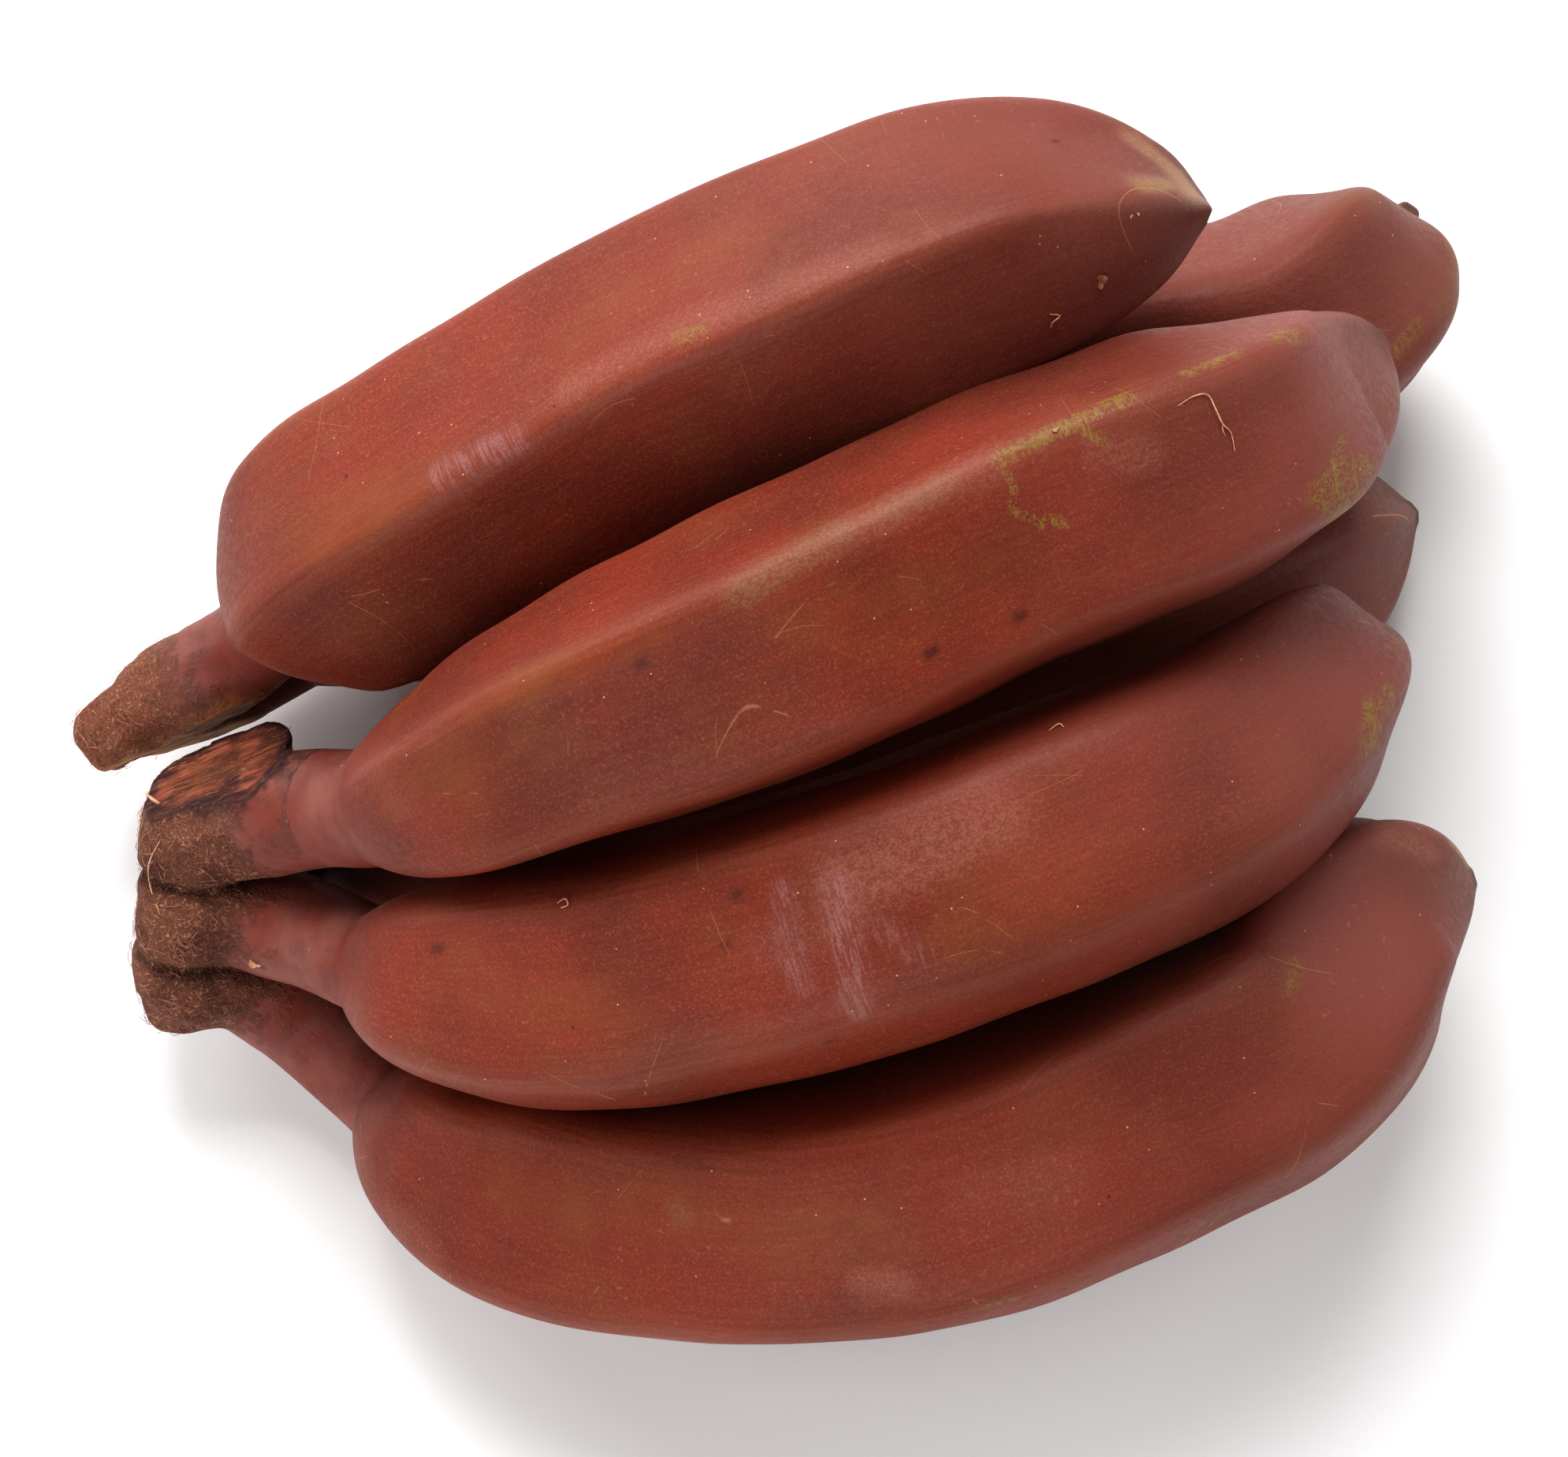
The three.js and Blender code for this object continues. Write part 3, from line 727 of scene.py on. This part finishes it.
class Paint:
    """Short calls for the nodes of one material."""

    def __init__(self, name):
        self.material = bpy.data.materials.new(name)
        self.material.use_nodes = True
        self.tree = self.material.node_tree
        self.shader = self.tree.nodes["Principled BSDF"]
        self.spot = self.add("TexCoord", "Object")
        self.straight = self.mark("straight", "Vector")

    def add(self, kind, out=0, sockets=(), **settings):
        """One output of a new node, its sockets linked or given values."""
        node = self.tree.nodes.new("ShaderNode" + kind)
        for key, value in settings.items():
            setattr(node, key, value)
        for key, value in sockets:
            if isinstance(value, bpy.types.NodeSocket):
                self.tree.links.new(value, node.inputs[key])
            else:
                node.inputs[key].default_value = value
        return node.outputs[out]

    def mark(self, name, out="Fac"):
        """A mesh's own value at each point."""
        return self.add("Attribute", out, attribute_name=name)

    def noise(self, vector, scale, detail=2.0, rough=0.5, bend=0.0, out="Fac"):
        """Cloudy noise, about 0.5 on average."""
        return self.add("TexNoise", out, [("Vector", vector), ("Scale", scale), ("Detail", detail),
                                          ("Roughness", rough), ("Distortion", bend)])

    def cells(self, vector, scale, out="Distance"):
        """A Voronoi pattern: distance to a cell's middle, or its colour."""
        return self.add("TexVoronoi", out, [("Vector", vector), ("Scale", scale)])

    def scaled(self, vector, scale, turn=(0, 0, 0)):
        """A place stretched and turned, so that a pattern runs one way."""
        return self.add("Mapping", 0, [("Vector", vector), ("Scale", scale), ("Rotation", turn)])

    def band(self, value, low, high, start=0.0, end=1.0):
        """The start value at low, the end value at high, a smooth step between."""
        return self.add("MapRange", 0, [("Value", value), ("From Min", low), ("From Max", high),
                                        ("To Min", start), ("To Max", end)],
                        interpolation_type="SMOOTHSTEP")

    def math(self, operation, a, b=0.0):
        """One step of arithmetic on two values."""
        return self.add("Math", 0, [(0, a), (1, b)], operation=operation)

    def product(self, *values):
        """All values multiplied."""
        total = values[0]
        for value in values[1:]:
            total = self.math("MULTIPLY", total, value)
        return total

    def most(self, *values):
        """The greatest of the values."""
        total = values[0]
        for value in values[1:]:
            total = self.math("MAXIMUM", total, value)
        return total

    def mix(self, share, a, b):
        """Colour a, with a share of colour b."""
        return self.add("Mix", 2, [(0, share), (6, a), (7, b)], data_type="RGBA")

    def tint(self, under, mark, strength, colour):
        """A colour over another, by a mark times a strength."""
        return self.mix(self.product(self.mark(mark), strength), under, colour)

    def lit(self, colour, value):
        """A colour times a value."""
        return self.add("VectorMath", 0, [(0, colour), ("Scale", value)], operation="SCALE")

    def line(self, value, middle, width):
        """1 where a value is near its middle, so that noise gives thin curved lines."""
        away = self.math("ABSOLUTE", self.math("SUBTRACT", value, middle))
        return self.band(away, width, 0.0)

    def broken(self, mask, texture, soft=0.15):
        """A mask with a ragged edge: it holds where texture is below the mask."""
        return self.band(self.math("SUBTRACT", mask, texture), 0.0, soft)

    def specks(self, vector, scale, size, share):
        """Round specks in a share of the cells of a Voronoi pattern."""
        near = self.band(self.cells(vector, scale), size, size * 0.55)
        pick = self.add("SeparateColor", 0, [(0, self.cells(vector, scale, "Color"))])
        return self.product(near, self.math("LESS_THAN", pick, share))

    def height(self, value, depth):
        """A bump normal of a depth in metres."""
        return self.add("Bump", 0, [("Height", value), ("Distance", depth), ("Strength", 1.0)])

    def finish(self, colour, roughness, normal):
        """The material, with its last three sockets linked."""
        for key, value in (("Base Color", colour), ("Roughness", roughness), ("Normal", normal)):
            self.tree.links.new(value, self.shader.inputs[key])
        return self.material


def skin_colour(p):
    """Red skin: brick over deep red in broad clouds, brown tints, and a fine sandy
    stipple. Also gives its textures, for the layers over it."""
    broad = p.noise(p.spot, 30, 2, 0.55)
    patch = p.noise(p.spot, 75, 3, 0.6)
    grain = p.noise(p.spot, 2700, 1, 0.7)
    colour = p.mix(p.band(broad, 0.36, 0.62), srgb(106, 43, 29), srgb(125, 48, 30))
    colour = p.mix(p.band(patch, 0.45, 0.72, 0.0, 0.5), colour, srgb(118, 62, 36))
    colour = p.mix(p.band(grain, 0.56, 0.74, 0.0, 0.22), colour, srgb(158, 98, 72))
    return p.lit(colour, p.band(grain, 0.25, 0.75, 0.84, 1.16)), broad, patch, grain


def neck_colour(p, colour, patch):
    """The smoother, pinker skin of the necks."""
    pink = p.mix(p.band(patch, 0.35, 0.65), srgb(120, 55, 44), srgb(134, 84, 76))
    dusk = p.band(p.noise(p.spot, 190, 3, 0.6), 0.45, 0.7, 0.0, 0.4)
    return p.mix(dusk, p.mix(0.75, colour, pink), srgb(92, 54, 50))


def felt(p):
    """Brown scurf: a dark ground under short curled tan fibres, in two sizes, with painted shade in
    the groove between pedicels.
    """
    coarse = p.line(p.noise(p.spot, 520, 2, 0.5, 1.6), 0.5, 0.04)
    fine = p.line(p.noise(p.spot, 1150, 2, 0.55, 1.2), 0.5, 0.06)
    cloud = p.noise(p.spot, 150, 4, 0.6)
    dust = p.noise(p.spot, 2200, 2, 0.6)
    shown = p.product(p.most(coarse, p.product(fine, 0.8)), p.band(cloud, 0.34, 0.60, 0.3, 1.0))
    ground = p.mix(p.band(cloud, 0.35, 0.65), srgb(80, 45, 37), srgb(116, 67, 53))
    ground = p.mix(p.product(p.mark("dry"), 0.5), ground, srgb(136, 78, 58))
    ground = p.lit(ground, p.band(dust, 0.3, 0.7, 0.7, 1.35))
    # Painted shade: the ground is darkened to 0.4 of its colour in the groove between two pedicels.
    ground = p.lit(ground, p.band(p.mark("crease"), 0.2, 1.0, 1.0, 0.4))
    return p.mix(shown, ground, srgb(182, 128, 100)), shown


def peel_material():
    """Skin of a fruit, with its marks and its dry tip."""
    p = Paint("red_peel")
    spot, straight = p.spot, p.straight
    skin, broad, patch, grain = skin_colour(p)
    fine = p.noise(p.scaled(straight, (1, 1, 0.05)), 1500, 1, 0.6)
    flaky = p.noise(spot, 850, 3, 0.7)
    hatch = p.noise(p.scaled(straight, (0.09, 0.09, 1)), 2600, 1, 0.6)
    skin = p.lit(skin, p.band(fine, 0.3, 0.7, 0.94, 1.06))

    # The ridge tint pales the skin along the ridges, partly as rubbed wear and partly as painted
    # highlight.
    for mark, texture, low, high, least, most, colour in (
            ("ridge", fine, 0.3, 0.7, 0.15, 0.4, srgb(138, 72, 52)),
            ("bloom", broad, 0.35, 0.65, 0.4, 0.85, srgb(124, 71, 63)),
            ("tip", patch, 0.3, 0.7, 0.3, 0.8, srgb(100, 66, 54)),
            ("warm", patch, 0.35, 0.65, 0.15, 0.55, srgb(134, 74, 34))):
        skin = p.tint(skin, mark, p.band(texture, low, high, least, most), colour)
    skin = p.mix(p.mark("neck"), skin, neck_colour(p, skin, patch))

    stipple = p.band(p.math("ADD", p.product(flaky, 0.5), p.product(grain, 0.5)), 0.38, 0.62)
    scratch = p.product(p.band(hatch, 0.46, 0.54), p.band(stipple, 0, 1, 0.5, 1.0))
    # The pale worn tint is partly rubbed wear and partly painted highlight.
    for mark, texture, least, most, colour in (
            ("worn_and_sheen", stipple, 0.22, 0.5, srgb(168, 110, 94)),
            ("olive", stipple, 0.2, 0.7, srgb(128, 94, 66)),
            ("scar", stipple, 0.45, 0.85, srgb(184, 144, 108)),
            ("graze", scratch, 0.12, 0.6, srgb(150, 104, 102))):
        skin = p.tint(skin, mark, p.band(texture, 0, 1, least, most), colour)
    sinew = p.most(p.line(p.noise(p.scaled(straight, (0.4, 0.4, 1)), 620, 2, 0.6, 1.0), 0.5, 0.05),
                   p.product(p.line(p.noise(straight, 900, 2, 0.6, 0.8), 0.5, 0.06), 0.8))
    dense = p.broken(p.mark("green"), p.band(flaky, 0.36, 0.60, 0.55, 1.0), 0.3)
    green = p.most(p.product(p.band(p.mark("green"), 0.05, 0.55), sinew), p.product(dense, 0.75))
    skin = p.mix(p.product(green, p.band(grain, 0.3, 0.6, 0.55, 0.9)), skin, srgb(132, 112, 46))
    skin = p.mix(p.product(p.mark("dark"), 0.85), skin, srgb(44, 22, 17))

    scuffed = p.product(p.band(broad, 0.56, 0.66), p.band(flaky, 0.62, 0.70))
    skin = p.mix(p.product(scuffed, 0.4), skin, srgb(170, 112, 88))
    skin = p.mix(p.product(p.specks(spot, 430, 0.075, 0.24), 0.8), skin, srgb(214, 158, 124))
    skin = p.mix(p.product(p.specks(spot, 130, 0.055, 0.10), 0.65), skin, srgb(48, 22, 17))
    hairline = p.most(*[
        p.line(p.noise(p.scaled(spot, (1, 1, 0.14), turn), scale, 0), 0.5, 0.0013)
        for scale, turn in ((30, (0.4, 0.3, 0.7)), (38, (1.2, 0.5, 2.1)))])
    skin = p.mix(p.product(hairline, p.band(patch, 0.56, 0.60, 0.0, 0.4)), skin,
                 srgb(200, 136, 100))
    dry_nub = p.lit(srgb(84, 60, 48)[:3], p.band(grain, 0.3, 0.7, 0.6, 1.4))
    skin = p.mix(p.mark("nub"), skin, dry_nub)

    rough = p.band(p.math("SUBTRACT", flaky, p.product(p.mark("ridge"), 0.1)), 0.3, 0.7, 0.46, 0.62)
    relief = p.math("ADD", p.product(fine, 0.25), flaky)
    p.shader.inputs["Specular IOR Level"].default_value = 0.22
    return p.finish(skin, rough, p.height(relief, 0.00012))


def crown_material():
    """The crown: felt over most of it, bare red skin near the necks, and the fresh
    cut with its torn fibres lengthwise, dark at its rim."""
    p = Paint("brown_crown")
    spot, straight = p.spot, p.straight
    skin, _, patch, _ = skin_colour(p)
    skin = neck_colour(p, skin, patch)
    brown, fibres = felt(p)
    ragged = p.band(p.noise(spot, 260, 4, 0.7), 0.25, 0.75, -0.3, 0.3)
    furry = p.band(p.math("ADD", p.mark("scurf"), ragged), 0.1, 0.9)
    dusty = p.lit(p.mix(0.55, skin, srgb(96, 58, 46)), 0.95)
    side = p.mix(p.band(furry, 0.0, 0.5), skin, dusty)
    side = p.mix(p.band(furry, 0.25, 1.0), side, brown)

    torn = p.noise(p.scaled(straight, (0.16, 1, 1)), 900, 3, 0.65, 0.9)
    strands = p.line(p.noise(p.scaled(straight, (0.3, 1, 1)), 560, 2, 0.6, 1.6), 0.5, 0.04)
    flesh = p.mix(p.band(p.noise(spot, 230, 3, 0.6), 0.4, 0.6), srgb(84, 38, 32), srgb(150, 78, 58))
    flesh = p.mix(p.band(patch, 0.45, 0.7), flesh, srgb(112, 62, 34))
    flesh = p.mix(p.band(p.mark("rim"), 0.0, 0.9), flesh, srgb(62, 26, 28))
    flesh = p.lit(flesh, p.band(torn, 0.3, 0.7, 0.4, 1.35))
    flesh = p.mix(p.product(strands, p.band(torn, 0.35, 0.6, 0.1, 0.65)), flesh, srgb(196, 130, 96))
    pale = p.lit(srgb(170, 122, 86)[:3], p.band(torn, 0.3, 0.7, 0.6, 1.3))
    flesh = p.mix(p.mark("dry"), flesh, pale)
    edge = p.product(p.mark("rim"), p.band(p.noise(spot, 400, 3, 0.6), 0.35, 0.6))
    rim = p.mix(p.mark("dry"), srgb(40, 24, 18), srgb(168, 112, 74))
    side = p.mix(p.product(edge, 0.75), side, rim)
    colour = p.mix(p.mark("cut"), side, flesh)

    bare = p.math("SUBTRACT", 1.0, p.mark("cut"))
    furry = p.product(furry, bare)
    rough = p.math("MAXIMUM", p.band(furry, 0.0, 1.0, 0.52, 0.85), p.product(p.mark("cut"), 0.62))
    lumps = p.math("ADD", p.product(fibres, 0.5), p.noise(spot, 420, 3, 0.65))
    relief = p.math("ADD", p.product(p.most(torn, strands), p.mark("cut"), 0.8),
                    p.product(lumps, furry))
    p.shader.inputs["Specular IOR Level"].default_value = 0.22
    return p.finish(colour, rough, p.height(relief, 0.0006))


def fibre_material(name, light, dark):
    """Dry thread: pale and darker by turns along its length."""
    p = Paint(name)
    tone = p.noise(p.spot, 900, 3, 0.6)
    colour = p.mix(p.band(tone, 0.35, 0.65), light, dark)
    return p.finish(colour, p.band(tone, 0.0, 1.0, 0.6, 0.8), p.height(tone, 0.00005))


def plain(name, colour, roughness):
    """One even finish, for the table."""
    material = bpy.data.materials.new(name)
    material.use_nodes = True
    shader = material.node_tree.nodes["Principled BSDF"]
    shader.inputs["Base Color"].default_value = colour
    shader.inputs["Roughness"].default_value = roughness
    return material


# ---- Build

peel = peel_material()
crown_skin = crown_material()
fibre = fibre_material("felt_fibre", srgb(190, 136, 106), srgb(136, 90, 68))
thread = fibre_material("dry_thread", srgb(226, 176, 138), srgb(178, 122, 84))

for name, fruit in FRUITS.items():
    fruit_piece(name, fruit, fruit_seed(name), peel)
for index, (name, crown) in enumerate(CROWNS.items()):
    seed = 91 + 7 * index
    crown_piece(name, crown, seed, crown_skin)
    fuzz(name + "_fuzz", crown, FUZZ[name], seed, fibre)
for name, (fruit, radius, *places) in THREADS.items():
    thread_on_skin(name, fruit, radius, places, thread)
for index, (name, (fruit, length, width, place)) in enumerate(FLAKES.items()):
    (spot,), (out,) = skin_places(fruit, [place])
    loose_piece(name, [flake_grid(spot, out, length, width, 30 + index)], fibre)
for name, (radius, *points) in STRANDS.items():
    loose_piece(name, [thread_grid(centripetal(points, 7), radius, 6)], thread)
spot, length, width = CROWN_FLAKE
loose_piece("crown_flake",
            [flake_grid(np.array(spot) + SEAT, OUTWARD, length, width, 5)], thread)

# ---- Floor, light and camera

VIEW_CENTRE = Vector((-6.3, 4.0, 72.3)) * MM
CAMERA_PLACE = Vector((-3.8, -163.2, 702.2)) * MM
CAMERA_ROLL = math.radians(-18.9)
LENS, SENSOR = 109.2, 36
FLOOR_REACH = 6
LAMP_AIM = Vector((0, 0, 0.05))

cam = bpy.data.objects.new("camera", bpy.data.cameras.new("camera"))
bpy.context.collection.objects.link(cam)
bpy.context.scene.camera = cam
cam.data.lens = LENS
cam.data.sensor_width = SENSOR
cam.location = CAMERA_PLACE
look = (VIEW_CENTRE - CAMERA_PLACE).to_track_quat("-Z", "Y").to_matrix()
cam.rotation_mode = "QUATERNION"
cam.rotation_quaternion = (look @ Matrix.Rotation(CAMERA_ROLL, 3, "Z")).to_quaternion()
cam.data.clip_start, cam.data.clip_end = 0.01, 20

floor_mesh = bpy.data.meshes.new("floor")
corners = [(x * FLOOR_REACH, y * FLOOR_REACH, 0) for x, y in ((-1, -1), (1, -1), (1, 1), (-1, 1))]
floor_mesh.from_pydata(corners, [], [(0, 1, 2, 3)])
floor = bpy.data.objects.new("floor", floor_mesh)
bpy.context.collection.objects.link(floor)
floor.data.materials.append(plain("white_table", (0.9, 0.9, 0.9, 1), 0.8))


def soft_box(name, place, size, watts):
    """A white area light at a place, turned to the bunch."""
    light = bpy.data.lights.new(name, "AREA")
    light.shape, light.size, light.size_y = "RECTANGLE", size[0], size[1]
    light.energy = watts
    lamp = bpy.data.objects.new(name, light)
    bpy.context.collection.objects.link(lamp)
    lamp.location = place
    lamp.rotation_mode = "QUATERNION"
    lamp.rotation_quaternion = (LAMP_AIM - Vector(place)).to_track_quat("-Z", "Y")


soft_box("window", (0.24, 0.70, 0.93), (0.7, 0.7), 13.0)
soft_box("top_left", (-0.35, 0.93, 0.55), (0.8, 0.6), 6.0)
soft_box("left", (-1.0, 0.1, 0.55), (0.7, 0.7), 3.5)
soft_box("right", (1.03, 0.05, 0.55), (0.7, 0.7), 3.2)
soft_box("front", (-0.5, -0.85, 0.65), (0.9, 0.6), 7.5)

world = bpy.data.worlds.new("white_room")
world.use_nodes = True
world.node_tree.nodes["Background"].inputs["Color"].default_value = (1, 1, 1, 1)
world.node_tree.nodes["Background"].inputs["Strength"].default_value = 0.08
bpy.context.scene.world = world
bpy.context.scene.view_settings.view_transform = "Standard"
bpy.context.scene.view_settings.look = "Medium High Contrast"
